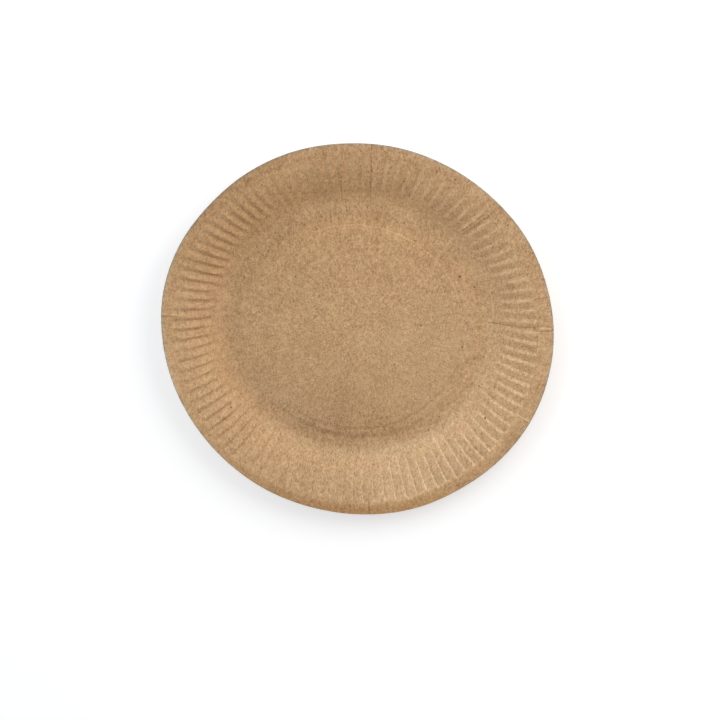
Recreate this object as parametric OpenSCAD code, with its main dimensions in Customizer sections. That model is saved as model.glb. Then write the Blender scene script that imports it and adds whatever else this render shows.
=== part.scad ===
// Round paper plate with a fluted rim, pressed from one blank of kraft board.
// The foot rests on z = 0 and the plate turns about the Z axis. Sizes are in millimetres.

/* [Board] */
// Thickness of the pressed board
board_t = 0.5; // [0.3:0.05:0.8]

/* [Outline] */
// Diameter at the cut edge
plate_d = 230; // [215:1:260]
// Height of the rim's crest above the table
rim_h = 15.5; // [10:0.5:20]

/* [Well] */
// Diameter of the raised centre panel, at the top of its ring
panel_d = 125; // [80:1:135]
// Drop of the ring round the panel
ring_drop = 0.45; // [0.1:0.05:0.8]
// Radial width of that ring's slope
ring_w = 2.2; // [0.6:0.1:3]
// Width of the level shelf outside the ring
shelf_w = 2.6; // [1:0.1:6]
// Drop of the soft step from the shelf to the foot
step_drop = 0.45; // [0.1:0.05:0.8]
// Radial width of that soft step
step_w = 4.2; // [2:0.1:6]
// Width of the flat foot that the plate rests on
foot_w = 3.5; // [2.5:0.1:6]

/* [Rim] */
// Radius of the hollow where the wall leaves the foot
hollow_r = 16; // [6:0.5:22]
// Radius of the shoulder where the wall rolls over to the crest
shoulder_r = 23; // [12:1:40]
// Share of the wall's lean that is left where the shoulder begins
shoulder_share = 0.22; // [0.1:0.01:0.4]
// Width of the lip from the rim's crest to the cut edge
lip_w = 3; // [2:0.5:6]
// Drop of the lip from the crest to the cut edge
lip_drop = 0.15; // [0.05:0.05:0.6]

/* [Flutes] */
// Number of flutes round the rim
flute_count = 100; // [72:1:108]
// Depth of a flute
flute_depth = 1; // [0.3:0.05:1.3]
// Share of the pitch that a flute's steep face takes
flute_steep = 0.25; // [0.2:0.01:0.45]
// Radial distance from the foot to where the flutes begin on the wall
flute_start = 8.5; // [6:0.5:14]
// Radial length over which a flute gains its full depth
flute_lead_in = 6.5; // [4:0.5:10]
// Radial width of the wall that closes a flute's outer end
flute_end_w = 1.5; // [0.8:0.1:2.5]
// Width of the plain band between the flutes and the cut edge
band_w = 8; // [5:0.5:11]
// Turn of the first crest about the axis, in degrees
flute_turn = 1.5; // [0:0.1:3.5]

/* [Hidden] */
kraft = [0.73, 0.59, 0.44];
turn_faces = 200;

// Radii of the well, from the centre outwards
panel_r = panel_d / 2;
shelf_in_r = panel_r + ring_w;
shelf_out_r = shelf_in_r + shelf_w;
foot_in_r = shelf_out_r + step_w;
foot_r = foot_in_r + foot_w;

// Underside of the shelf and of the panel
shelf_z = step_drop;
panel_z = step_drop + ring_drop;

// Run and rise of the wall, at the middle of the board
plate_r = plate_d / 2;
crest_r = plate_r - lip_w;
wall_run = crest_r - foot_r;
wall_rise = rim_h - board_t;
foot_mid_z = board_t / 2;
crest_mid_z = rim_h - board_t / 2;

// Three tangent arcs carry the wall from the foot up to the crest: hollow, crown and shoulder.
// The lean at the top of the hollow is solved by halving, so that the crest has its height.
function crown_run(lean) = wall_run - hollow_r * sin(lean) - shoulder_r * sin(lean * shoulder_share);
function rise_at(lean) =
    hollow_r * (1 - cos(lean))
    + crown_run(lean) * tan(lean * (1 + shoulder_share) / 2)
    + shoulder_r * (1 - cos(lean * shoulder_share));
function solve_lean(low, high, tries) =
    let (middle = (low + high) / 2)
    tries == 0 ? middle
    : rise_at(middle) < wall_rise ? solve_lean(middle, high, tries - 1)
    : solve_lean(low, middle, tries - 1);
wall_lean = solve_lean(0, 70, 40);
shoulder_lean = wall_lean * shoulder_share;
crown_r = crown_run(wall_lean) / (sin(wall_lean) - sin(shoulder_lean));
wall_r = foot_r + hollow_r * sin(wall_lean);
shoulder_in_r = crest_r - shoulder_r * sin(shoulder_lean);
crown_mid_r = wall_r + crown_r * sin(wall_lean);
crown_mid_z = foot_mid_z + hollow_r * (1 - cos(wall_lean)) - crown_r * cos(wall_lean);
lip_lean = atan(lip_drop / lip_w);

// Radii between which the flutes run
flute_in_r = foot_r + flute_start;
flute_full_r = plate_r - band_w - flute_end_w;
flute_out_r = plate_r - band_w;

// The well and the rim share a strip of the flat foot, and the rim runs a little past the cut
lap_in_r = foot_r - foot_w * 3 / 4;
lap_out_r = foot_r - foot_w / 4;
trim_w = 1;

// Rings of the rim's loft, with one on the crest unless a wide lip reaches in over the flutes
hollow_steps = 3;
crown_steps = 5;
top_r = max(crest_r, flute_out_r + band_w / 3);
loft_r = concat(
    [lap_in_r],
    [for (i = [0 : hollow_steps]) foot_r + hollow_r * sin(wall_lean * i / hollow_steps)],
    [for (i = [1 : crown_steps]) wall_r + (flute_full_r - wall_r) * i / crown_steps],
    [flute_out_r, (flute_out_r + top_r) / 2, top_r, plate_r + trim_w]
);

// Each flute has two edges, its crest and its root
edge_count = 2 * flute_count;
flute_pitch = 360 / flute_count;

// Height of the middle of the board at radius r
function mid_z(r) =
    r <= foot_r ? foot_mid_z
    : r <= wall_r ? foot_mid_z + hollow_r - sqrt(hollow_r ^ 2 - (r - foot_r) ^ 2)
    : r <= shoulder_in_r ? crown_mid_z + sqrt(crown_r ^ 2 - (crown_mid_r - r) ^ 2)
    : r <= crest_r ? crest_mid_z - shoulder_r + sqrt(shoulder_r ^ 2 - (crest_r - r) ^ 2)
    : crest_mid_z - (r - crest_r) * tan(lip_lean);

// Lean of the board at radius r, in degrees, where rising outwards is positive
function lean(r) =
    r <= foot_r ? 0
    : r <= wall_r ? asin((r - foot_r) / hollow_r)
    : r <= shoulder_in_r ? asin((crown_mid_r - r) / crown_r)
    : r <= crest_r ? asin((crest_r - r) / shoulder_r)
    : -lip_lean;

// Depth of a flute's root at radius r
function root_depth(r) =
    flute_depth * max(0, min(1, (r - flute_in_r) / flute_lead_in, (flute_out_r - r) / flute_end_w));

// Angle of one edge: even edges are crests and odd ones roots
function edge_angle(i) = flute_turn + flute_pitch * (floor(i / 2) + (i % 2) * flute_steep);

// Point of the board at radius r on one edge, where side is 1 on the upper face and -1 on the lower
function board_point(r, side, i) =
    let (
        lift = side * board_t / 2 - (i % 2) * root_depth(r),
        out = r - lift * sin(lean(r))
    )
    [out * cos(edge_angle(i)), out * sin(edge_angle(i)), mid_z(r) + lift * cos(lean(r))];

// Centre panel, ring, shelf, soft step and foot, turned about the axis
module well() {
    under = [
        [0, panel_z],
        [panel_r, panel_z],
        [shelf_in_r, shelf_z],
        [shelf_out_r, shelf_z],
        [foot_in_r, 0],
        [lap_out_r, 0]
    ];
    last = len(under) - 1;
    over = [for (i = [last : -1 : 0]) under[i] + [0, board_t]];
    rotate_extrude($fn = turn_faces) polygon(concat(under, over));
}

// Wall, fluted crown and lip, lofted ring by ring round a closed section of the board
module fluted_rim() {
    last = len(loft_r) - 1;
    section = concat(
        [for (r = loft_r) [r, 1]],
        [for (i = [last : -1 : 0]) [loft_r[i], -1]]
    );
    ring_count = len(section);
    points = [for (s = section, i = [0 : edge_count - 1]) board_point(s[0], s[1], i)];
    function corner(ring, i) = (ring % ring_count) * edge_count + i % edge_count;
    faces = [
        for (ring = [0 : ring_count - 1], i = [0 : edge_count - 1])
        each [
            [corner(ring, i), corner(ring, i + 1), corner(ring + 1, i + 1)],
            [corner(ring, i), corner(ring + 1, i + 1), corner(ring + 1, i)]
        ]
    ];
    polyhedron(points, faces);
}

// The whole pressed sheet, with its rim cut true to the outline
module plate() {
    color(kraft) intersection() {
        union() {
            well();
            fluted_rim();
        }
        cylinder(d = plate_d, h = rim_h + board_t, $fn = turn_faces);
    }
}

plate();
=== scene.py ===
"""A round kraft paper plate with a fluted rim: its pressed sheet, its finish and a plain studio."""

import logging
import math
import random
from dataclasses import dataclass, field
from enum import Enum
from functools import cached_property
from itertools import pairwise

import bmesh
import bpy
from mathutils import Matrix, Vector


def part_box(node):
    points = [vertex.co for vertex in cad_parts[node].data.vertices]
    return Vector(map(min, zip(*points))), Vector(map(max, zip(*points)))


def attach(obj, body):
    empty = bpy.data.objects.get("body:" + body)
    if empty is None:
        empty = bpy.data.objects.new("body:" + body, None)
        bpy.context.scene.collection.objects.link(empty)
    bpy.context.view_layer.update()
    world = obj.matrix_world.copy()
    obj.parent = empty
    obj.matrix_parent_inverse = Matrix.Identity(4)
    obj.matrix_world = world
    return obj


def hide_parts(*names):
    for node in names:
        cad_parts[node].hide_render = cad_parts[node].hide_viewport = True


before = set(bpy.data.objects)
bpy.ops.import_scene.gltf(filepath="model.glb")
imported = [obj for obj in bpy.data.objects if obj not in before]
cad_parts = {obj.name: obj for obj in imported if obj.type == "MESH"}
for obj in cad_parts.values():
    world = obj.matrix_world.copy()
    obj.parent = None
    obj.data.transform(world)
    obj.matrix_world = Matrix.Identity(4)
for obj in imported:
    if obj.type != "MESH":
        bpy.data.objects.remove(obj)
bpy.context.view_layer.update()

MM = 0.001
LOG = logging.getLogger("paper_plate")
Pair = tuple[float, float]
Triple = tuple[float, float, float]
Colour = tuple[float, float, float, float]
Socket = bpy.types.NodeSocket
WHITE: Colour = (1.0, 1.0, 1.0, 1.0)


def srgb(red: int, green: int, blue: int) -> Colour:
    """Linear colour, with full alpha, of an sRGB value whose parts go from 11 to 255."""
    linear = [((part / 255 + 0.055) / 1.055) ** 2.4 for part in (red, green, blue)]
    return (*linear, 1.0)


def smooth_step(share: float) -> float:
    """Smooth ramp from 0 to 1, held at both ends."""
    held = min(1.0, max(0.0, share))
    return held * held * (3 - 2 * held)


def tent(share: float) -> float:
    """Peak of 1 at 0 that falls straight to 0 on both sides."""
    return max(0.0, 1 - abs(share))


def turn_from(line: float, angle: float) -> float:
    """Shortest turn from a line to an angle, in degrees, positive counter-clockwise."""
    return (angle - line + 180) % 360 - 180


def even_steps(start: float, width: float, steps: int) -> list[float]:
    """Even steps from a start across a width, with both ends."""
    return [start + width * i / steps for i in range(steps + 1)]


@dataclass(frozen=True)
class Spot:
    """A point of the plate, by its radius in metres and its angle in degrees."""

    radius: float
    angle: float

    @classmethod
    def of(cls, x: float, y: float) -> "Spot":
        """Spot of a place in the plate's plane."""
        return cls(math.hypot(x, y), math.degrees(math.atan2(y, x)))


class Lay(Enum):
    """How a crease breaks the board's surface."""

    VALLEY = "pressed in along its line"
    RIDGE = "raised along its line"
    FOLD_CLOCKWISE = "its short face looks clockwise"
    FOLD_COUNTER = "its short face looks counter-clockwise"


@dataclass(frozen=True)
class Crease:
    """One stray crease in the rim, where the board was gathered by the press."""

    angle_in: float
    angle_out: float
    start_r: float
    end_r: float
    height: float
    lay: Lay
    # painted light along the crease's line: painted shade below 0, a painted highlight above 0
    line_light: float
    half_w: float
    line_w: float
    fold_run: float = 3.5 * MM
    fade_w: float = 2.5 * MM

    @classmethod
    def from_row(
        cls, turns: Pair, reach: Pair, height: float, lay: Lay,
        line_light: float = 0.0, half_w: float = 0.9, line_w: float = 0.45,
    ) -> "Crease":
        """Crease from a row whose lengths are in millimetres."""
        start_r, end_r = (radius * MM for radius in reach)
        return cls(*turns, start_r, end_r, height * MM, lay, line_light, half_w * MM, line_w * MM)

    @property
    def sign(self) -> float:
        """Way that the crease's line leaves the surface: 1 up, -1 down."""
        return -1.0 if self.lay is Lay.VALLEY else 1.0

    def ends(self, centre: Vector) -> tuple[Vector, Vector]:
        """Inner and outer end of the crease's line in the plate's plane.

        Args:
            centre: Centre of the pressed form.

        Returns:
            The two ends.
        """
        turns = math.radians(self.angle_in), math.radians(self.angle_out)
        inner, outer = (Vector((math.cos(turn), math.sin(turn), 0.0)) for turn in turns)
        return centre + inner * self.start_r, centre + outer * self.end_r

    def lift(self, spot: Spot) -> float:
        """Height that the crease adds at a point.

        Args:
            spot: The point.

        Returns:
            The added height along the board's normal, in metres.
        """
        if spot.radius > self.end_r:
            return 0.0
        out = spot.radius - self.start_r
        share = min(1.0, max(0.0, out / (self.end_r - self.start_r)))
        line = self.angle_in + (self.angle_out - self.angle_in) * share
        away = math.radians(turn_from(line, spot.angle)) * spot.radius
        run = self.half_w
        if self.lay is Lay.FOLD_COUNTER:
            away = -away
        if self.lay in (Lay.FOLD_CLOCKWISE, Lay.FOLD_COUNTER) and away > 0:
            run = self.fold_run
        return self.sign * self.height * smooth_step(out / self.fade_w) * tent(away / run)


@dataclass(frozen=True)
class PressedSection:
    """Half section of the sheet at mid-thickness, from the axis out to the cut edge."""

    edge_r: float
    rim_h: float
    board_t: float = 0.5 * MM
    panel_r: float = 62.5 * MM
    ring_drop: float = 0.45 * MM
    ring_w: float = 2.2 * MM
    shelf_w: float = 2.6 * MM
    step_drop: float = 0.45 * MM
    step_w: float = 4.2 * MM
    foot_w: float = 3.5 * MM
    hollow_r: float = 16.0 * MM
    shoulder_r: float = 23.0 * MM
    shoulder_share: float = 0.22
    lip_w: float = 3.0 * MM
    lip_drop: float = 0.15 * MM
    most_lean: float = 80.0
    lean_passes: int = 40

    @property
    def shelf_in_r(self) -> float:
        """Radius where the ring meets the shelf."""
        return self.panel_r + self.ring_w

    @property
    def shelf_out_r(self) -> float:
        """Radius where the shelf meets the soft step."""
        return self.shelf_in_r + self.shelf_w

    @property
    def foot_in_r(self) -> float:
        """Radius where the soft step meets the foot."""
        return self.shelf_out_r + self.step_w

    @property
    def foot_r(self) -> float:
        """Radius where the foot turns up into the wall."""
        return self.foot_in_r + self.foot_w

    @property
    def crest_r(self) -> float:
        """Radius of the rim's highest ring."""
        return self.edge_r - self.lip_w

    @cached_property
    def wall_lean(self) -> float:
        """Lean of the wall where the hollow ends, solved so that the crest has its height.

        Returns:
            The lean, in radians.
        """
        low, high = 0.0, math.radians(self.most_lean)
        for _ in range(self.lean_passes):
            lean = (low + high) / 2
            if self.rise(lean) < self.rim_h - self.board_t:
                low = lean
            else:
                high = lean
        return lean

    @property
    def shoulder_lean(self) -> float:
        """Lean where the crown meets the shoulder, in radians."""
        return self.wall_lean * self.shoulder_share

    @property
    def wall_r(self) -> float:
        """Radius where the hollow meets the crown."""
        return self.foot_r + self.hollow_r * math.sin(self.wall_lean)

    @property
    def shoulder_in_r(self) -> float:
        """Radius where the crown meets the shoulder."""
        return self.crest_r - self.shoulder_r * math.sin(self.shoulder_lean)

    @property
    def crown_r(self) -> float:
        """Radius of the long arc that eases the wall's lean."""
        return (self.shoulder_in_r - self.wall_r) / (math.sin(self.wall_lean) - math.sin(self.shoulder_lean))

    def rise(self, lean: float) -> float:
        """Rise from the foot to the crest for a lean of the wall.

        Args:
            lean: Lean where the hollow ends, in radians.

        Returns:
            The rise of the three arcs together, in metres.
        """
        upper = lean * self.shoulder_share
        hollow_w = self.hollow_r * math.sin(lean)
        shoulder_w = self.shoulder_r * math.sin(upper)
        crown_w = self.crest_r - self.foot_r - hollow_w - shoulder_w
        arcs = ((hollow_w, lean / 2), (crown_w, (lean + upper) / 2), (shoulder_w, upper / 2))
        return sum(width * math.tan(chord) for width, chord in arcs)

    def height(self, radius: float) -> float:
        """Height of the board's middle.

        Args:
            radius: Radius on the plate, in metres.

        Returns:
            The height above the table, in metres.
        """
        foot_z = self.board_t / 2
        crest_z = self.rim_h - self.board_t / 2
        if radius <= self.foot_r:
            ring = 1 - smooth_step((radius - self.panel_r) / self.ring_w)
            step = 1 - smooth_step((radius - self.shelf_out_r) / self.step_w)
            return foot_z + self.ring_drop * ring + self.step_drop * step
        if radius <= self.wall_r:
            return foot_z + self.hollow_r - math.sqrt(self.hollow_r ** 2 - (radius - self.foot_r) ** 2)
        if radius <= self.shoulder_in_r:
            wall_z = foot_z + self.hollow_r * (1 - math.cos(self.wall_lean))
            apex_r = self.wall_r + self.crown_r * math.sin(self.wall_lean)
            arc_z = math.sqrt(self.crown_r ** 2 - (apex_r - radius) ** 2)
            return wall_z - self.crown_r * math.cos(self.wall_lean) + arc_z
        if radius <= self.crest_r:
            return crest_z - self.shoulder_r + math.sqrt(self.shoulder_r ** 2 - (self.crest_r - radius) ** 2)
        return crest_z - self.lip_drop * (radius - self.crest_r) / self.lip_w


@dataclass(frozen=True)
class Around:
    """A value that changes smoothly round the plate, given at even steps from its first angle."""

    values: tuple[float, ...]
    first: float = -13.3

    def at(self, angle: float) -> float:
        """Value at an angle.

        Args:
            angle: Angle round the plate, in degrees.

        Returns:
            The value on a smooth curve through the steps.
        """
        count = len(self.values)
        place = (angle - self.first) / 360 * count % count
        step, t = int(place), place % 1
        a, b, c, d = (self.values[(step + i) % count] for i in (-1, 0, 1, 2))
        return b + t / 2 * (c - a + t * (2 * a - 5 * b + 4 * c - d + t * (3 * (b - c) + d - a)))


@dataclass(frozen=True)
class Flute:
    """One flute's own depth factor, start and end."""

    factor: float
    start: float
    end: float


@dataclass(frozen=True)
class Flutes:
    """The ring of shallow flutes pressed into the rim, which differ a little from side to side.

    The values of start_shift, end_shift and end_w are in millimetres, and those of drift in degrees.
    """

    count: int = 100
    columns: int = 8
    steep_columns: int = 2
    depth: float = 1.0 * MM
    turn: float = 1.5
    start_r: float = 83.5 * MM
    lead_in: float = 6.5 * MM
    ease_r: float = 96.0 * MM
    end_r: float = 107.0 * MM
    seed: int = 11
    depth_spread: float = 0.15
    end_spread: float = 0.5 * MM
    start_spread: float = 1.6 * MM
    drift: Around = Around((-0.44, -0.19, 0.26, 1.3, 2.05, 1.0, 0.7, 0.57, 0.59, 0.47, 0.12, -0.45))
    drift_passes: int = 5
    strength: Around = Around((0.78, 0.68, 0.78, 1.05, 0.65, 1.38, 1.1, 0.70, 0.58, 0.5, 1.4, 0.92))
    roundness: Around = Around((0.5, 0.5, 0.6, 0.8, 1.0, 1.0, 1.0, 0.9, 0.6, 0.2, 0.0, 0.3))
    outer_share: Around = Around((1.05, 1.05, 0.85, 0.75, 0.8, 0.4, 0.6, 0.8, 1.2, 1.2, 0.7, 1.15))
    steep: Around = Around((0.32, 0.32, 0.30, 0.27, 0.30, 0.42, 0.32, 0.25, 0.24, 0.13, 0.12, 0.20))
    start_shift: Around = Around((0.0, 0.0, 0.0, 0.0, 1.0, -1.0, 0.0, 0.0, -3.0, -2.0, -0.5, 1.3))
    end_shift: Around = Around((0.5, 0.6, 0.6, 1.0, 1.2, 2.0, 1.4, 0.2, 1.0, 1.2, 1.4, 1.0))
    end_w: Around = Around((1.3, 1.3, 1.5, 2.0, 2.0, 2.0, 2.0, 1.5, 2.5, 3.2, 2.0, 1.4))
    # painted sheen round the plate: how strongly each flute's steep face is tinted pale and whitish
    painted_paleness: Around = Around((0.65, 0.55, 0.4, 0.25, 0.25, 0.3, 0.35, 0.3, 0.2, 0.75, 1.4, 1.0))
    sheen_share: float = 0.17
    sheen_least: float = 0.12
    # painted highlights: a bright line on the steep face (glint) and a light spot at each flute's outer end
    glint: Around = Around((0.0,) * 9 + (0.24, 0.26, 0.0))
    end_highlight: Around = Around((0.0,) * 8 + (0.05, 0.30, 0.16, 0.04))
    end_highlight_w: float = 1.3 * MM
    end_highlight_share: float = 0.2

    @property
    def pitch(self) -> float:
        """Angle from one flute to the next, in degrees."""
        return 360 / self.count

    @cached_property
    def rows(self) -> list[Flute]:
        """The flutes in order, varied a little as pressed board is.

        Returns:
            The flutes.
        """
        draw = random.Random(self.seed)
        rows = []
        for index in range(self.count):
            angle = self.turn + index * self.pitch
            factor = self.strength.at(angle) * (1 + draw.uniform(-self.depth_spread, self.depth_spread))
            start = self.start_r + self.start_shift.at(angle) * MM
            start += draw.uniform(-self.start_spread, self.start_spread)
            end = self.end_r + self.end_shift.at(angle) * MM
            end += draw.uniform(-self.end_spread, self.end_spread)
            rows.append(Flute(factor, start, end))
        return rows

    def column_angle(self, index: int) -> float:
        """Angle of one column of the mesh, so that columns run along every crest and root.

        Args:
            index: Number of the column, counted round the whole plate.

        Returns:
            The angle, in degrees.
        """
        flute, column = divmod(index, self.columns)
        steep = self.steep.at(self.turn + flute * self.pitch)
        face = self.steep_columns
        if column <= face:
            phase = steep * column / face
        else:
            phase = steep + (1 - steep) * (column - face) / (self.columns - face)
        even = self.turn + self.pitch * (flute + phase)
        return even + self.drift.at(even)

    def locate(self, angle: float) -> tuple[Flute, float, float]:
        """Flute at an angle.

        Args:
            angle: Angle of the point, in degrees.

        Returns:
            The flute, the share of its pitch from its crest to the angle, and the share of its steep face.
        """
        even = angle
        for _ in range(self.drift_passes):
            even = angle - self.drift.at(even)
        place = (even - self.turn) / self.pitch % self.count
        index = int(place) % self.count
        return self.rows[index], place % 1, self.steep.at(self.turn + index * self.pitch)

    def reach(self, spot: Spot, flute: Flute) -> float:
        """Share of its depth that a flute has along its length.

        Args:
            spot: The point.
            flute: The flute at the point.

        Returns:
            The share, from 0 to 1.
        """
        lead = smooth_step((spot.radius - flute.start) / self.lead_in)
        close = (flute.end - spot.radius) / (self.end_w.at(spot.angle) * MM)
        return max(0.0, min(1.0, lead, close))

    def sink(self, spot: Spot) -> float:
        """Depth of the flutes at a point.

        Args:
            spot: The point.

        Returns:
            The depth below the smooth form, in metres.
        """
        flute, phase, steep = self.locate(spot.angle)
        across = phase / steep if phase < steep else (1 - phase) / (1 - steep)
        across += (smooth_step(across) - across) * self.roundness.at(spot.angle)
        ease = smooth_step((spot.radius - self.ease_r) / (flute.end - self.ease_r))
        factor = flute.factor * (1 + (self.outer_share.at(spot.angle) - 1) * ease)
        return self.depth * factor * across * self.reach(spot, flute)

    def painted_highlights(self, spot: Spot) -> Pair:
        """Painted highlights on a flute: a pale, whitish line of painted sheen on its steep face, and a
        painted light spot at its outer end.

        Args:
            spot: The point.

        Returns:
            The added tone of the painted highlights, and the painted sheen's paleness from 0 up.
        """
        flute, phase, steep = self.locate(spot.angle)
        reach = self.reach(spot, flute)
        from_crest = min(phase, 1 - phase)
        from_face = abs((phase - steep / 2 + 0.5) % 1 - 0.5)
        pale = self.painted_paleness.at(spot.angle) * reach * max(self.sheen_least, 1 - from_face / self.sheen_share)
        tone = self.glint.at(spot.angle) * reach * tent(2 * phase / steep - 1)
        end_highlight_r = flute.end - self.end_w.at(spot.angle) * MM
        end_highlight = tent((spot.radius - end_highlight_r) / self.end_highlight_w) * tent(from_crest / self.end_highlight_share)
        return tone + self.end_highlight.at(spot.angle) * end_highlight, pale


@dataclass(frozen=True)
class LipSag:
    """A stretch of the lip that hangs a little lower than the rest."""

    angle: float
    half_span: float
    start_r: float
    end_r: float
    drop: float
    curl: float = 1.6

    def lift(self, spot: Spot) -> float:
        """Height that the sag adds at a point.

        Args:
            spot: The point.

        Returns:
            The added height, zero or less, in metres.
        """
        window = smooth_step(1 - abs(turn_from(self.angle, spot.angle)) / self.half_span)
        reach = max(0.0, (spot.radius - self.start_r) / (self.end_r - self.start_r))
        return -self.drop * window * reach ** self.curl


class NodeSheet:
    """A node tree with short calls that add a node and join it."""

    def __init__(self, owner: bpy.types.Material | bpy.types.World) -> None:
        """Opens the node tree of a new material or world, and empties it.

        Args:
            owner: The material or world.
        """
        owner.use_nodes = True
        self.tree = owner.node_tree
        self.tree.nodes.clear()

    def add(
        self, kind: str, feeds: dict[str | int, object] | None = None, **settings: object
    ) -> bpy.types.Node:
        """Adds one node.

        Args:
            kind: Blender's name for the node.
            feeds: A socket to join or a plain value for each input that is used.
            settings: Values of the node's own properties.

        Returns:
            The new node.
        """
        node = self.tree.nodes.new(kind)
        for name, value in settings.items():
            setattr(node, name, value)
        for name, value in (feeds or {}).items():
            if isinstance(value, Socket):
                self.tree.links.new(value, node.inputs[name])
            else:
                node.inputs[name].default_value = value
        return node

    def math(self, operation: str, first: object, second: object = 0.0, clamp: bool = False) -> Socket:
        """Result of a Math node, which can be held from 0 to 1."""
        node = self.add("ShaderNodeMath", {0: first, 1: second}, operation=operation, use_clamp=clamp)
        return node.outputs[0]

    def plus(self, total: object, value: object, weight: float) -> Socket:
        """Total with a weighted value added."""
        return self.math("ADD", total, self.math("MULTIPLY", value, weight))

    def vector(self, operation: str, first: object, second: object = (0.0, 0.0, 0.0)) -> Socket:
        """Result of a Vector Math node, which is a number for a distance or a dot product."""
        ends = self.add("ShaderNodeVectorMath", {0: first, 1: second}, operation=operation).outputs
        return ends["Value" if operation in ("DISTANCE", "DOT_PRODUCT") else "Vector"]

    def mapped(self, vector: object, scale: Triple, turn: float = 0.0) -> Socket:
        """Coordinates turned about Z by degrees, then stretched."""
        spun = self.add("ShaderNodeMapping", {"Vector": vector, "Rotation": (0.0, 0.0, math.radians(turn))})
        return self.add("ShaderNodeMapping", {"Vector": spun.outputs[0], "Scale": scale}).outputs[0]

    def noise(self, vector: object, scale: float = 1.0, detail: float = 1.0) -> Socket:
        """Noise about 0.5, with its number of finer layers."""
        feeds = {"Vector": vector, "Scale": scale, "Detail": detail}
        return self.add("ShaderNodeTexNoise", feeds).outputs[0]

    def swing(self, vector: object, scale: float = 1.0, detail: float = 1.0) -> Socket:
        """Noise about 0, with its number of finer layers."""
        return self.math("SUBTRACT", self.noise(vector, scale, detail), 0.5)

    def ramp(self, value: object, low: float, high: float, start: float = 0.0, end: float = 1.0) -> Socket:
        """Value mapped with smooth ends, from low and high to start and end."""
        feeds = {"Value": value, "From Min": low, "From Max": high, "To Min": start, "To Max": end}
        return self.add("ShaderNodeMapRange", feeds, interpolation_type="SMOOTHSTEP").outputs[0]

    def mix(
        self, factor: object, first: object, second: object, blend: str = "MIX", clamp: bool = True
    ) -> Socket:
        """Colour of a Mix node, whose share of the second colour can be held from 0 to 1."""
        settings = {"data_type": "RGBA", "blend_type": blend, "clamp_factor": clamp}
        return self.add("ShaderNodeMix", {0: factor, 6: first, 7: second}, **settings).outputs[2]

    def attribute(self, name: str) -> Socket:
        """Value that the mesh stores for each point."""
        return self.add("ShaderNodeAttribute", attribute_name=name).outputs["Fac"]

    def bump(self, height: object, depth: float, under: Socket | None = None) -> Socket:
        """Normal of a Bump node, laid over another one where there is one."""
        feeds = {"Height": height, "Distance": depth} | ({"Normal": under} if under else {})
        return self.add("ShaderNodeBump", feeds).outputs[0]

    def seen(self) -> Socket:
        """Asks whether a thing is seen, straight, mirrored or through glass.

        Returns:
            The answer, 1 or 0.
        """
        path = self.add("ShaderNodeLightPath").outputs
        direct = self.math("MAXIMUM", path["Is Camera Ray"], path["Is Glossy Ray"])
        return self.math("MAXIMUM", direct, path["Is Transmission Ray"])

    def close(self, shader: bpy.types.Node, kind: str = "ShaderNodeOutputMaterial") -> None:
        """Joins the last shader to the output."""
        self.add(kind, {"Surface": shader.outputs[0]})

    def coat(self, colour: object, roughness: object, specular: float, normal: Socket) -> None:
        """Ends the sheet with a Principled shader of these looks."""
        looks = {"Base Color": colour, "Roughness": roughness, "Normal": normal}
        self.close(self.add("ShaderNodeBsdfPrincipled", looks | {"Specular IOR Level": specular}))


@dataclass(frozen=True)
class Grain:
    """One layer of noise in the board's tone, by the scale and detail of its pattern and its weight."""

    scale: float
    detail: float
    weight: float


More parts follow.
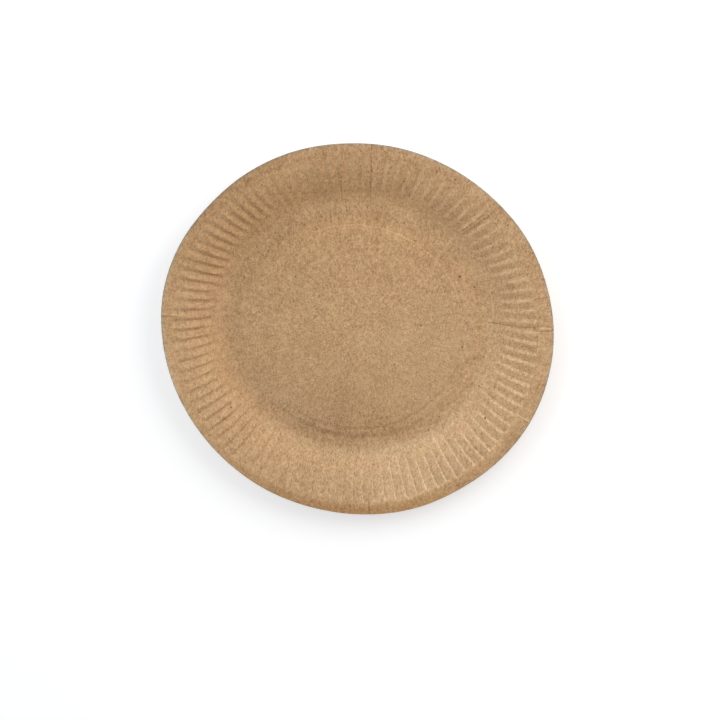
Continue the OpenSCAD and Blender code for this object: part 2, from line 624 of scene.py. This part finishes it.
@dataclass(frozen=True)
class KraftFinish:
    """Brown uncoated kraft board: fibre grain, mottling, bark specks and a faint pressed sheen, with painted
    shade, painted highlights and a painted sheen tint laid over its tone.

    A row of fibre_ways is a turn in degrees and a weight. A row of specks is X, Y and radius in millimetres
    and a strength.
    """

    name: str = "kraft_board"
    dark: Colour = srgb(144, 105, 66)
    light: Colour = srgb(229, 190, 144)
    bark: Colour = srgb(84, 56, 34)
    warm: Colour = (1.009, 0.993, 1.004, 1.0)
    cool: Colour = (0.993, 1.004, 0.993, 1.0)
    hue_scale: float = 70.0
    hue_range: Pair = (0.35, 0.65)
    # whitish cast of painted sheen, multiplied in by the painted paleness
    sheen_colour: Colour = (1.0, 1.13, 1.34, 1.0)
    shade_attribute: str = "shade"
    hue_attribute: str = "painted_paleness"
    middle_tone: float = 0.5
    blotch: Grain = Grain(55.0, 2.0, 0.26)
    mottle: Grain = Grain(300.0, 2.0, 0.34)
    speckle: Grain = Grain(620.0, 1.0, 0.40)
    grain: Grain = Grain(1250.0, 1.5, 0.85)
    fibre_scale: Triple = (1500.0, 330.0, 700.0)
    fibre_ways: tuple[Pair, ...] = ((4.0, 0.55), (-38.0, 0.30), (47.0, 0.30))
    fleck_scale: Triple = (900.0, 520.0, 700.0)
    fleck_turn: float = 8.0
    fleck_range: Pair = (0.36, 0.24)
    fleck_depth: float = 0.30
    roughness: Pair = (0.70, 0.86)
    rough_scale: float = 420.0
    rough_range: Pair = (0.3, 0.7)
    specular: float = 0.3
    cockle_scale: float = 38.0
    cockle_depth: float = 0.22 * MM
    grain_depth: float = 0.035 * MM
    mottle_share: float = 1.5
    line_depth: float = 0.12 * MM
    line_end: float = 1.0 * MM
    line_light_gain: float = 2.0
    scatter_scale: float = 150.0
    scatter_rare: Pair = (0.80, 0.97)
    scatter_near: Pair = (0.05, 0.13)
    scatter_cover: float = 0.5
    speck_core: float = 0.4
    speck_rim: float = 1.3
    specks: tuple[tuple[float, float, float, float], ...] = (
        (60.1, 32.4, 0.75, 0.9), (68.7, 25.9, 0.55, 0.95), (7.6, 18.6, 0.55, 0.7),
        (37.3, 2.2, 0.6, 0.9), (61.6, -11.2, 0.55, 0.85), (21.7, -22.6, 0.6, 0.85),
        (96.9, -6.5, 0.6, 0.55), (74.3, -17.3, 0.55, 0.8), (83.3, -20.7, 0.7, 0.45),
        (81.2, -33.9, 0.6, 0.5), (75.7, -52.8, 0.7, 0.85), (48.3, -55.7, 0.5, 0.8),
        (52.0, -71.2, 0.6, 0.5), (-56.9, -65.2, 0.6, 0.35), (-67.3, -78.1, 0.5, 0.4),
        (-87.7, -58.0, 0.5, 0.45), (-76.3, -49.4, 0.6, 0.8), (-70.8, -42.9, 0.6, 0.5),
        (-70.6, 7.8, 0.6, 0.5), (10.3, 98.2, 0.6, 0.6), (19.1, 107.6, 0.6, 0.4),
        (28.5, 91.8, 0.6, 0.65), (54.1, 78.7, 0.5, 0.4), (57.9, 94.5, 0.6, 0.9),
        (66.5, 65.9, 0.7, 0.35), (79.3, 53.3, 0.5, 0.4),
    )

    def bark_specks(self, sheet: NodeSheet, place: Socket) -> Socket:
        """Covers the placed specks and a scatter of finer ones.

        Args:
            sheet: The node tree.
            place: Object coordinates.

        Returns:
            The cover of bark, from 0 to 1.
        """
        cells = sheet.add("ShaderNodeTexVoronoi", {"Vector": place, "Scale": self.scatter_scale})
        rare = sheet.ramp(cells.outputs["Color"], *self.scatter_rare)
        near = sheet.ramp(cells.outputs["Distance"], *self.scatter_near, 1.0, 0.0)
        cover = sheet.math("MULTIPLY", sheet.math("MULTIPLY", rare, near), self.scatter_cover)
        flat = sheet.vector("MULTIPLY", place, (1.0, 1.0, 0.0))
        for x, y, size, strength in self.specks:
            gap = sheet.vector("DISTANCE", flat, (x * MM, y * MM, 0.0))
            core, rim = self.speck_core * (size * MM), self.speck_rim * (size * MM)
            cover = sheet.math("MAXIMUM", cover, sheet.ramp(gap, core, rim, strength, 0.0))
        return cover

    def crease_lines(
        self, sheet: NodeSheet, place: Socket, creases: tuple[Crease, ...], centre: Vector
    ) -> tuple[Socket, Socket]:
        """Draws every crease as a fine line of painted light: painted shade where its value is below 0, a
        painted highlight where it is above 0, with a faint ridge or groove in the bump.

        Args:
            sheet: The node tree.
            place: Object coordinates.
            creases: The creases.
            centre: Centre of the pressed form.

        Returns:
            The lines' painted shade and highlights as tone about 0, and their height.
        """
        tone: object = 0.0
        height: object = 0.0
        for crease in creases:
            inner, outer = crease.ends(centre)
            length = (outer - inner).length
            along = (outer - inner) / length
            away = sheet.vector("SUBTRACT", place, inner)
            run = sheet.vector("DOT_PRODUCT", away, along)
            side = sheet.vector("DOT_PRODUCT", away, Vector((-along.y, along.x, 0.0)))
            line = sheet.ramp(sheet.math("ABSOLUTE", side), 0.0, crease.line_w, 1.0, 0.0)
            line = sheet.math("MULTIPLY", line, sheet.ramp(run, 0.0, crease.fade_w))
            line = sheet.math("MULTIPLY", line, sheet.ramp(run, length - self.line_end, length, 1.0, 0.0))
            # painted shade and painted highlights along the crease lines
            tone = sheet.plus(tone, line, self.line_light_gain * crease.line_light)
            height = sheet.plus(height, line, crease.sign)
        return tone, height

    def make(self, creases: tuple[Crease, ...], centre: Vector) -> bpy.types.Material:
        """Builds the material.

        Args:
            creases: The creases in the rim.
            centre: Centre of the pressed form.

        Returns:
            The finished material.
        """
        material = bpy.data.materials.new(self.name)
        sheet = NodeSheet(material)
        place = sheet.add("ShaderNodeTexCoord").outputs["Object"]
        layers = {
            layer: sheet.swing(place, layer.scale, layer.detail)
            for layer in (self.blotch, self.mottle, self.speckle, self.grain)
        }
        tone: object = self.middle_tone
        for layer, swing in layers.items():
            tone = sheet.plus(tone, swing, layer.weight)
        for turn, weight in self.fibre_ways:
            streaks = sheet.swing(sheet.mapped(place, self.fibre_scale, turn))
            tone = sheet.plus(tone, streaks, weight)
        fleck = sheet.noise(sheet.mapped(place, self.fleck_scale, self.fleck_turn))
        tone = sheet.math("SUBTRACT", tone, sheet.ramp(fleck, *self.fleck_range, 0.0, self.fleck_depth))
        # fine lines of painted shade and painted highlight along the creases
        lines, ridges = self.crease_lines(sheet, place, creases, centre)
        # the shade attribute carries painted shade and painted light set point by point on the mesh
        shade = sheet.attribute(self.shade_attribute)
        tone = sheet.math("ADD", sheet.math("ADD", tone, lines), shade, clamp=True)

        colour = sheet.mix(tone, self.dark, self.light)
        patches = sheet.ramp(sheet.noise(place, self.hue_scale, detail=2.0), *self.hue_range)
        colour = sheet.mix(1.0, colour, sheet.mix(patches, self.warm, self.cool), "MULTIPLY")
        # painted sheen: lit parts tinted paler, shaded parts warmer
        pale = sheet.attribute(self.hue_attribute)
        colour = sheet.mix(pale, colour, self.sheen_colour, "MULTIPLY", clamp=False)
        colour = sheet.mix(self.bark_specks(sheet, place), colour, self.bark)

        rubbed = sheet.noise(place, self.rough_scale, detail=2.0)
        rough = sheet.ramp(rubbed, *self.rough_range, *self.roughness)
        normal = sheet.bump(sheet.noise(place, self.cockle_scale), self.cockle_depth)
        normal = sheet.bump(ridges, self.line_depth, normal)
        tooth = sheet.plus(layers[self.grain], layers[self.mottle], self.mottle_share)
        normal = sheet.bump(tooth, self.grain_depth, normal)
        sheet.coat(colour, rough, self.specular, normal)
        return material


@dataclass(frozen=True)
class CutEdgeFinish:
    """The die-cut edge of the board, greyer than its face and a little furry."""

    name: str = "cut_edge"
    dark: Colour = srgb(108, 92, 73)
    light: Colour = srgb(152, 134, 109)
    ply_scale: Triple = (500.0, 500.0, 7000.0)
    ply_range: Pair = (0.3, 0.7)
    roughness: float = 0.9
    specular: float = 0.2
    fur_depth: float = 0.05 * MM

    def make(self) -> bpy.types.Material:
        """Builds the material.

        Returns:
            The finished material.
        """
        material = bpy.data.materials.new(self.name)
        sheet = NodeSheet(material)
        place = sheet.add("ShaderNodeTexCoord").outputs["Object"]
        plies = sheet.noise(sheet.mapped(place, self.ply_scale), detail=2.0)
        colour = sheet.mix(sheet.ramp(plies, *self.ply_range), self.dark, self.light)
        sheet.coat(colour, self.roughness, self.specular, sheet.bump(plies, self.fur_depth))
        return material


@dataclass
class PaperPlate:
    """The plate: one sheet of board, swept ring by ring, fluted, creased and given its thickness.

    A row of crease_rows is the turns of both ends in degrees, their radii and the height in millimetres and
    the lay, then the painted light of its line (painted shade below 0, a painted highlight above 0), half
    width and line width where they matter. The values of edge_shift are in millimetres.
    """

    section: PressedSection
    flutes: Flutes = field(default_factory=Flutes)
    board: KraftFinish = field(default_factory=KraftFinish)
    edge: CutEdgeFinish = field(default_factory=CutEdgeFinish)
    name: str = "pressed_plate"
    disc_r: tuple[float, ...] = (57.0 * MM, 30.0 * MM)
    form_shift: Pair = (-1.1 * MM, 0.0)
    ring_reach: float = 1.6
    ring_steps: int = 9
    step_steps: int = 5
    hollow_steps: int = 7
    crown_steps: int = 16
    end_zone: Pair = (104.6 * MM, 109.4 * MM)
    end_steps: int = 8
    lip_steps: int = 4
    edge_ring_w: float = 0.7 * MM
    ring_slack: float = 0.02 * MM
    most_lift: float = 2.0 * MM
    sharp_from: float = 28.0
    edge_shift: Around = Around(
        (0.08, 0.1, 0.05, 0.42, 0.16, 0.31, 0.45, 0.0, 0.05, -0.35, -0.8, 0.0)
        + (0.3, -0.5, -1.1, -1.45, -1.2, -0.65, -0.4, 0.2, 0.5, -0.4, -0.3, 0.07)
    )
    # painted shade along the cut edge, strongest on the top and left, with a touch of painted light at the
    # bottom; the row after it greys that painted shade
    edge_painted_shade: Around = Around(
        (-0.24, -0.21, -0.15, -0.15, -0.28, -0.32, -0.29, -0.25, -0.08, 0.05, 0.05, -0.1)
    )
    edge_shade_grey: Around = Around((2.2, 2.1, 2.1, 2.2, 2.2, 2.2, 2.2, 2.2, 0.8, 0.0, 0.0, 1.2))
    edge_painted_shade_w: float = 2.0 * MM
    # painted light and shade on the lip round the plate, then its painted hue: paler where lit, warmer where
    # shaded
    lip_painted_light: Around = Around(
        (-0.02, -0.09, -0.13, -0.12, -0.13, -0.16, 0.05, 0.14, -0.02, -0.15, -0.015, -0.03)
    )
    lip_painted_hue: Around = Around((0.1, 0.14, 0.18, 0.1, 0.0, -0.08, -0.05, 0.0, -0.15, -0.37, -0.4, -0.02))
    # painted light and shade on the rim and the foot round the plate
    rim_painted_light: Around = Around((-0.03, -0.02, -0.01, 0.02, 0.0, -0.03, 0.05, 0.05, 0.0, -0.085, 0.02, 0.0))
    # painted light and shade on the wall round the plate, then its painted hue: paler where lit, warmer
    # where shaded
    wall_painted_light: Around = Around((0.01, 0.03, 0.06, 0.05, 0.04, 0.0, 0.04, 0.0, 0.08, 0.08, 0.02, 0.0))
    wall_painted_hue: Around = Around((0.18, 0.08, 0.0, -0.12, -0.02, 0.0, 0.08, -0.12, 0.0, 0.2, 0.36, 0.23))
    wall_zone: Pair = (80.5 * MM, 8.0 * MM)
    # painted shade and light in the soft step round the plate
    step_painted_light: Around = Around((0.09, 0.02, -0.05, -0.07, -0.11, -0.1, -0.02, 0.03, 0.02, -0.1, 0.01, 0.08))
    step_spread: float = 0.9
    # painted highlight along the ring, with a little painted shade on one side
    ring_painted_light: Around = Around((0.07, 0.08, 0.09, 0.16, 0.05, -0.05, 0.0, 0.03, 0.03, 0.0, 0.02, 0.05))
    ring_share: Around = Around((0.8, 0.7, 0.6, 0.45, 0.6, 0.8, 1.2, 1.4, 1.5, 1.5, 1.1, 0.9))
    # painted shade on the outer panel, darker towards the side at about 260 degrees, then the panel's
    # painted hue
    panel_painted_shade: Around = Around((0.0, -0.03, -0.045, 0.0, 0.0, -0.03, 0.015, 0.01, -0.02, -0.13, -0.08, 0.0))
    panel_painted_hue: Around = Around((0.14, 0.1, -0.08, -0.13, -0.17, -0.08, 0.03, 0.02, 0.13, 0.09, 0.0, 0.12))
    panel_painted_shade_from: float = 30.0 * MM
    panel_tilt: float = 0.30 * MM
    panel_high_side: float = 285.0
    sag: LipSag = LipSag(277.0, 66.0, 104.8 * MM, 115.0 * MM, 1.2 * MM)
    crease_rows: tuple[tuple, ...] = (
        ((3.0, 3.2), (77.0, 107.5), 0.16, Lay.VALLEY, -0.15, 0.6),
        ((3.1, 3.0), (106.5, 116.0), 0.14, Lay.FOLD_CLOCKWISE, 0.18),
        ((2.2, 2.3), (106.0, 116.0), 0.12, Lay.VALLEY, -0.18),
        ((4.2, 3.5), (107.5, 113.0), 0.10, Lay.VALLEY, -0.08),
        ((12.9, 12.8), (106.5, 116.0), 0.18, Lay.FOLD_CLOCKWISE, -0.12),
        ((23.8, 23.3), (106.0, 116.0), 0.14, Lay.FOLD_COUNTER),
        ((43.0, 42.9), (83.0, 116.0), 0.28, Lay.VALLEY, -0.06, 1.4, 1.5),
        ((44.6, 44.2), (84.0, 110.0), 0.16, Lay.VALLEY, -0.04, 0.9, 0.8),
        ((82.9, 83.4), (76.5, 98.0), 0.20, Lay.VALLEY, -0.10, 0.7),
        ((83.4, 84.1), (97.0, 115.0), 0.20, Lay.VALLEY, -0.12, 0.7),
        ((95.2, 92.7), (77.0, 112.0), 0.14, Lay.VALLEY, -0.08, 0.7),
        ((94.4, 93.3), (78.0, 92.0), 0.14, Lay.RIDGE, 0.07, 0.7),
        ((93.6, 93.4), (107.5, 113.0), 0.14, Lay.RIDGE, 0.08, 0.7),
        ((105.0, 105.1), (108.5, 116.0), 0.16, Lay.RIDGE, 0.06),
        ((154.0, 154.4), (110.0, 116.0), 0.16, Lay.FOLD_CLOCKWISE, 0.06),
        ((174.0, 173.9), (98.5, 115.5), 0.14, Lay.FOLD_CLOCKWISE, 0.17, 0.9, 0.5),
        ((174.4, 174.7), (104.5, 114.5), 0.10, Lay.VALLEY, -0.06),
        ((215.3, 214.3), (88.5, 106.0), 0.22, Lay.FOLD_COUNTER, -0.07),
        ((273.9, 273.8), (104.5, 115.0), 0.22, Lay.VALLEY, -0.22, 0.7, 0.6),
        ((302.5, 303.1), (106.5, 116.0), 0.16, Lay.VALLEY, -0.12),
        ((303.6, 304.0), (104.0, 113.0), 0.16, Lay.FOLD_COUNTER, 0.08),
        ((322.7, 322.4), (105.0, 114.0), 0.14, Lay.VALLEY, -0.06),
        ((333.7, 333.7), (78.0, 94.0), 0.14, Lay.VALLEY, -0.04),
        ((333.4, 333.1), (105.5, 116.0), 0.16, Lay.FOLD_COUNTER, 0.22, 0.9, 0.6),
        ((332.8, 332.5), (108.5, 116.0), 0.10, Lay.VALLEY, -0.09),
        ((343.0, 342.9), (106.5, 114.0), 0.12, Lay.VALLEY, -0.10),
    )

    @cached_property
    def creases(self) -> tuple[Crease, ...]:
        """The stray creases in the rim."""
        return tuple(Crease.from_row(*row) for row in self.crease_rows)

    def radii(self) -> list[float]:
        """Radii of the swept rings, from the panel's edge out to the cut edge.

        Returns:
            The radii, in metres.
        """
        s = self.section
        full_r, plain_r = self.end_zone
        ring = even_steps(s.panel_r, self.ring_reach * s.ring_w, self.ring_steps)
        step = even_steps(s.shelf_out_r, s.step_w, self.step_steps)
        leans = even_steps(0.0, s.wall_lean, self.hollow_steps)
        hollow = [s.foot_r + s.hollow_r * math.sin(lean) for lean in leans]
        crown = even_steps(s.wall_r, full_r - s.wall_r, self.crown_steps)[1:]
        end = even_steps(full_r, plain_r - full_r, self.end_steps)[1:]
        lip = even_steps(plain_r, s.edge_r - plain_r, self.lip_steps)[1:-1]
        return ring + step + hollow + crown + end + lip + [s.edge_r - self.edge_ring_w, s.edge_r]

    def centre(self, radius: float) -> Vector:
        """Centre of one ring: the pressed form sits a little off the cut edge's centre.

        Args:
            radius: Radius of the ring, in metres.

        Returns:
            The ring's centre in the plate's plane.
        """
        plain_w = self.section.edge_r - self.flutes.end_r
        share = 1 - smooth_step((radius - self.flutes.end_r) / plain_w)
        return Vector((self.form_shift[0] * share, self.form_shift[1] * share, 0.0))

    def sweep(self) -> bpy.types.Object:
        """Sweeps the section outwards ring by ring, then closes the centre panel.

        Returns:
            The open sheet, without thickness.
        """
        radii = self.radii()
        first = radii[0]
        start = self.centre(first)
        columns = self.flutes.columns * self.flutes.count
        bpy.ops.object.select_all(action="DESELECT")
        bpy.ops.mesh.primitive_circle_add(vertices=columns, radius=first, fill_type="NOTHING")
        sheet = bpy.context.object
        sheet.name = self.name
        height = self.section.height(first)
        places: list[float] = []
        for index in range(columns):
            angle = math.radians(self.flutes.column_angle(index))
            places += (start.x + first * math.cos(angle), start.y + first * math.sin(angle), height)
        sheet.data.vertices.foreach_set("co", places)
        bpy.ops.object.mode_set(mode="EDIT")
        bpy.ops.mesh.select_all(action="SELECT")
        for inner, outer in pairwise(radii):
            self.grow(inner, outer)
        self.select_ring(sheet, first)
        for inner, outer in pairwise((first, *self.disc_r)):
            self.grow(inner, outer)
        bpy.ops.mesh.extrude_edges_move()
        bpy.ops.mesh.merge(type="CENTER")
        bpy.ops.mesh.select_all(action="SELECT")
        bpy.ops.mesh.normals_make_consistent(inside=False)
        bpy.ops.object.mode_set(mode="OBJECT")
        return sheet

    def grow(self, old_r: float, new_r: float) -> None:
        """Extrudes the selected ring to the next radius.

        Args:
            old_r: Radius of the selected ring, in metres.
            new_r: Radius of the next ring, in metres.
        """
        shift = self.centre(new_r) - self.centre(old_r)
        shift.z = self.section.height(new_r) - self.section.height(old_r)
        bpy.ops.mesh.extrude_edges_move(TRANSFORM_OT_translate={"value": shift})
        scale = new_r / old_r
        bpy.ops.transform.resize(value=(scale, scale, 1.0), center_override=self.centre(new_r))

    def select_ring(self, sheet: bpy.types.Object, radius: float) -> None:
        """Selects the vertices of one ring in edit mode.

        Args:
            sheet: The sheet that is being edited.
            radius: Radius of the ring, in metres.
        """
        bpy.ops.mesh.select_all(action="DESELECT")
        mesh = bmesh.from_edit_mesh(sheet.data)
        middle = self.centre(radius)
        for vertex in mesh.verts:
            away = (vertex.co - middle).to_2d().length
            vertex.select = abs(away - radius) < self.ring_slack
        mesh.select_flush_mode()
        mesh.select_flush(True)
        bmesh.update_edit_mesh(sheet.data)

    def relief(self, spot: Spot) -> Triple:
        """Height that flutes, creases and sag add at a point of the rim, with the rim's painted shade,
        painted highlights and painted hue.

        Args:
            spot: The point, about the pressed form's centre.

        Returns:
            The added height along the board's normal in metres, the painted shade and light as added tone,
            and the painted hue.
        """
        lift = self.sag.lift(spot) - self.flutes.sink(spot)
        lift += sum(crease.lift(spot) for crease in self.creases)
        tone, pale = self.flutes.painted_highlights(spot)
        lip = smooth_step((spot.radius - self.flutes.end_r) / self.section.lip_w)
        middle, spread = self.wall_zone
        wall = smooth_step(1 - abs(spot.radius - middle) / spread)
        # painted shade and light, then painted hue, on the lip, rim and wall
        tone += self.lip_painted_light.at(spot.angle) * lip + self.rim_painted_light.at(spot.angle) * (1 - lip)
        tone += self.wall_painted_light.at(spot.angle) * wall
        pale += self.lip_painted_hue.at(spot.angle) * lip + self.wall_painted_hue.at(spot.angle) * wall
        return lift, tone, pale

    def settle(self, spot: Spot) -> Triple:
        """Height of the well, whose panel settled a little out of level in the press, with the well's
        painted shade, painted highlights and painted hue.

        Args:
            spot: The point, about the pressed form's centre.

        Returns:
            The added height in metres, the painted shade and light as added tone, and the painted hue.
        """
        s = self.section
        radius, angle = spot.radius, spot.angle
        side = math.cos(math.radians(angle - self.panel_high_side))
        hold = 1 - smooth_step((radius - s.shelf_out_r) / s.step_w)
        lift = self.panel_tilt * side * hold * min(1.0, radius / s.shelf_out_r)
        out = (radius - s.panel_r) / s.ring_w
        ring = out / self.ring_share.at(angle)
        lift += s.ring_drop * (smooth_step(out) - smooth_step(ring))
        middle = s.shelf_out_r + s.step_w / 2
        step = 1 - smooth_step(abs(radius - middle) / (self.step_spread * s.step_w))
        outer = smooth_step((radius - self.panel_painted_shade_from) / (s.panel_r - self.panel_painted_shade_from))
        foot = smooth_step((radius - s.foot_in_r) / s.foot_w)
        # painted light in the step and ring, painted shade on the panel and foot
        tone = self.step_painted_light.at(angle) * step + self.ring_painted_light.at(angle) * tent(2 * ring - 1)
        tone += self.panel_painted_shade.at(angle) * outer * hold + self.rim_painted_light.at(angle) * foot
        pale = self.panel_painted_hue.at(angle) * hold * min(1.0, radius / s.panel_r)
        return lift, tone, pale

    def border(self, spot: Spot) -> float:
        """Closeness to the cut edge, up to 1 at the edge itself, of a point about the edge's own centre."""
        edge_r = self.section.edge_r + self.edge_shift.at(spot.angle) * MM
        return smooth_step(1 - (edge_r - spot.radius) / self.edge_painted_shade_w)

    def trim(self, sheet: bpy.types.Object) -> list[float]:
        """Moves the lip in or out a little where the cut edge leaves the true circle.

        Args:
            sheet: The swept sheet.

        Returns:
            The places of all vertices in one flat list, in metres.
        """
        start_r = self.flutes.start_r
        places = [0.0] * (3 * len(sheet.data.vertices))
        sheet.data.vertices.foreach_get("co", places)
        for i in range(0, len(places), 3):
            x, y = places[i], places[i + 1]
            spot = Spot.of(x, y)
            share = smooth_step((spot.radius - start_r) / (self.section.edge_r - start_r))
            scale = 1 + self.edge_shift.at(spot.angle) * MM * share / max(spot.radius, MM)
            places[i], places[i + 1] = x * scale, y * scale
        sheet.data.vertices.foreach_set("co", places)
        return places

    def press(self, sheet: bpy.types.Object) -> None:
        """Presses the relief into the swept form, and stores each point's painted shade and light and its
        painted hue.

        Args:
            sheet: The swept sheet.
        """
        places = self.trim(sheet)
        lifts, tones, pales = [], [], []
        for x, y in zip(places[0::3], places[1::3]):
            spot = Spot.of(x - self.form_shift[0], y - self.form_shift[1])
            on_rim = spot.radius > self.section.foot_r
            lift, tone, pale = self.relief(spot) if on_rim else self.settle(spot)
            border = self.border(Spot.of(x, y))
            lifts.append(lift)
            # painted shade and its grey cast along the cut edge
            tones.append(tone + self.edge_painted_shade.at(spot.angle) * border)
            pales.append(pale + self.edge_shade_grey.at(spot.angle) * border)
        for name, sign in (("raised", 1), ("sunk", -1)):
            group = sheet.vertex_groups.new(name=name)
            for index, lift in enumerate(lifts):
                group.add([index], min(1.0, max(0.0, sign * lift / self.most_lift)), "REPLACE")
            push = sheet.modifiers.new(name, "DISPLACE")
            push.vertex_group = name
            push.direction = "NORMAL"
            push.mid_level = 0.0
            push.strength = sign * self.most_lift
            bpy.ops.object.modifier_apply(modifier=name)
        sheet.vertex_groups.clear()
        for name, values in ((self.board.shade_attribute, tones), (self.board.hue_attribute, pales)):
            sheet.data.attributes.new(name, "FLOAT", "POINT")
            sheet.data.attributes[name].data.foreach_set("value", values)

    def thicken(self, sheet: bpy.types.Object) -> None:
        """Gives the sheet its board thickness, with the cut edge as its own finish.

        Args:
            sheet: The pressed sheet.
        """
        sheet.data.materials.append(self.board.make(self.creases, Vector((*self.form_shift, 0.0))))
        sheet.data.materials.append(self.edge.make())
        wall = sheet.modifiers.new("board", "SOLIDIFY")
        wall.thickness = self.section.board_t
        wall.offset = 0.0
        wall.use_even_offset = True
        wall.material_offset_rim = 1
        bpy.ops.object.modifier_apply(modifier=wall.name)
        bpy.ops.object.shade_smooth_by_angle(angle=math.radians(self.sharp_from))

    def build(self) -> bpy.types.Object:
        """Makes the plate and seats it on the frame.

        Returns:
            The finished piece.
        """
        sheet = self.sweep()
        self.press(sheet)
        self.thicken(sheet)
        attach(sheet, "root")
        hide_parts("plate")
        return sheet


@dataclass(frozen=True)
class FloorFinish:
    """Plain pale floor that stays white to the camera and keeps the plate's shadow."""

    name: str = "pale_floor"
    colour: Colour = (0.72, 0.72, 0.72, 1.0)
    lift: float = 0.47

    def make(self) -> bpy.types.Material:
        """Builds the material.

        Returns:
            The finished material.
        """
        material = bpy.data.materials.new(self.name)
        sheet = NodeSheet(material)
        matt = sheet.add("ShaderNodeBsdfDiffuse", {"Color": self.colour})
        glow = sheet.add("ShaderNodeEmission", {"Strength": sheet.math("MULTIPLY", sheet.seen(), self.lift)})
        sheet.close(sheet.add("ShaderNodeAddShader", {0: matt.outputs[0], 1: glow.outputs[0]}))
        return material


@dataclass
class Studio:
    """Floor, light and camera."""

    floor_side: float = 6.0
    image_side: float = 720.0
    sensor: float = 36.0
    focal_px: float = 1907.5
    distance: float = 1.12
    tilt: float = 20.92
    azimuth: float = 76.70
    target: Triple = (2.21 * MM, -15.47 * MM, 14.0 * MM)
    zenith: float = 0.11
    horizon: float = 1.82
    lean_to_top: float = 0.56
    lean_to_right: float = -0.66
    lean_tint: Triple = (0.82, 1.0, 1.18)
    key_power: float = 2.1
    key_colour: Triple = (1.0, 0.99, 0.97)
    key_place: Triple = (0.36, 0.36, 0.36)
    key_side: float = 0.4

    def floor(self) -> None:
        """Lays the floor under the plate."""
        bpy.ops.object.select_all(action="DESELECT")
        bpy.ops.mesh.primitive_plane_add(size=self.floor_side)
        plane = bpy.context.object
        plane.name = "floor"
        plane.data.materials.append(FloorFinish().make())

    def sky(self) -> None:
        """Lights the set from a soft dome that is brighter low down and towards the photograph's top."""
        world = bpy.data.worlds.new("studio")
        bpy.context.scene.world = world
        sheet = NodeSheet(world)
        facing = sheet.add("ShaderNodeTexCoord").outputs["Generated"]
        way = sheet.add("ShaderNodeSeparateXYZ", {0: facing}).outputs
        rise = sheet.ramp(way["Z"], 0.0, 1.0, self.horizon, self.zenith)
        lean = sheet.plus(sheet.math("MULTIPLY", way["Y"], self.lean_to_top), way["X"], self.lean_to_right)
        tinted = sheet.add("ShaderNodeVectorMath", {0: self.lean_tint, "Scale": lean}, operation="SCALE")
        light = sheet.vector("MAXIMUM", sheet.vector("ADD", rise, tinted.outputs[0]))
        back = sheet.add("ShaderNodeBackground", {"Color": sheet.mix(sheet.seen(), light, WHITE)})
        sheet.close(back, "ShaderNodeOutputWorld")

    def key(self) -> None:
        """Hangs the soft key light low on the side that is the photograph's top."""
        place = Vector(self.key_place)
        bpy.ops.object.light_add(type="AREA", location=place)
        lamp = bpy.context.object
        lamp.name = "key_softbox"
        lamp.data.shape = "SQUARE"
        lamp.data.size = self.key_side
        lamp.data.energy = self.key_power
        lamp.data.color = self.key_colour
        lamp.rotation_euler = (-place).to_track_quat("-Z", "Y").to_euler()

    def camera(self) -> None:
        """Sets the camera above the plate, with the photograph's top as the nearer side."""
        tilt, turn = math.radians(self.tilt), math.radians(self.azimuth)
        along = Vector((math.sin(turn), -math.cos(turn), 0.0))
        over = Vector((math.cos(turn) * math.cos(tilt), math.sin(turn) * math.cos(tilt), -math.sin(tilt)))
        back = Vector((math.sin(tilt) * math.cos(turn), math.sin(tilt) * math.sin(turn), math.cos(tilt)))
        right = along * math.sin(turn) + over * math.cos(turn)
        up = over * math.sin(turn) - along * math.cos(turn)
        data = bpy.data.cameras.new("photo_view")
        data.sensor_width = self.sensor
        data.lens = self.sensor * self.focal_px / self.image_side
        view = bpy.data.objects.new("photo_view", data)
        bpy.context.scene.collection.objects.link(view)
        axes = Matrix((right, up, back)).transposed().to_4x4()
        view.matrix_world = Matrix.Translation(Vector(self.target) + back * self.distance) @ axes
        bpy.context.scene.camera = view

    def build(self) -> None:
        """Sets up floor, light, camera and the plain view transform."""
        self.floor()
        self.sky()
        self.key()
        self.camera()
        bpy.context.scene.view_settings.view_transform = "Standard"


def main() -> None:
    """Builds the plate and the studio in order."""
    logging.basicConfig(level=logging.INFO, format="%(name)s: %(message)s")
    low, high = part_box("plate")
    section = PressedSection(edge_r=(high[0] - low[0]) / 2, rim_h=high[2] - low[2])
    plate = PaperPlate(section).build()
    LOG.info("%s: %d faces", plate.name, len(plate.data.polygons))
    Studio().build()
    LOG.info("studio: floor, dome, key light and camera")


if __name__ == "__main__":
    main()
